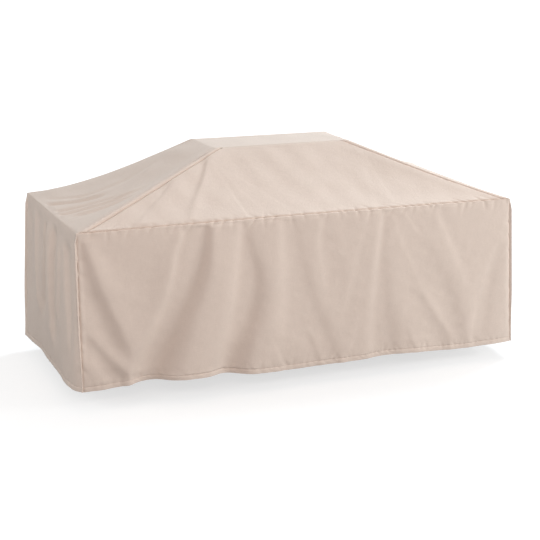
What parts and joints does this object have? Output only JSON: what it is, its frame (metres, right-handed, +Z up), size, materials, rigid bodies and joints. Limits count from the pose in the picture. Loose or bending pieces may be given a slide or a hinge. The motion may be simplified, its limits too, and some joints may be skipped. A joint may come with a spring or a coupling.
{
  "type": "patio table cover",
  "caption": "Fitted outdoor cover for a rectangular dining table, with a hipped top, a flat ridge and straight hanging skirts; hollow and open at the foot.",
  "frame": {"origin": "underside of the flat ridge, half way along and across it, where the cover bears on what stands on the table", "axes": "+X along the cover's length, +Y towards its back, +Z up"},
  "size_m": [2.1396, 0.9987, 0.954],
  "materials": {
    "cover_cloth": "matt coated woven polyester, warm sand, with felled seams and tone-on-tone stitching"
  },
  "bodies": {
    "root": {"centre_strip": "cover_cloth", "front_roof": "cover_cloth", "back_roof": "cover_cloth", "front_skirt": "cover_cloth", "back_skirt": "cover_cloth"}
  },
  "joints": []
}
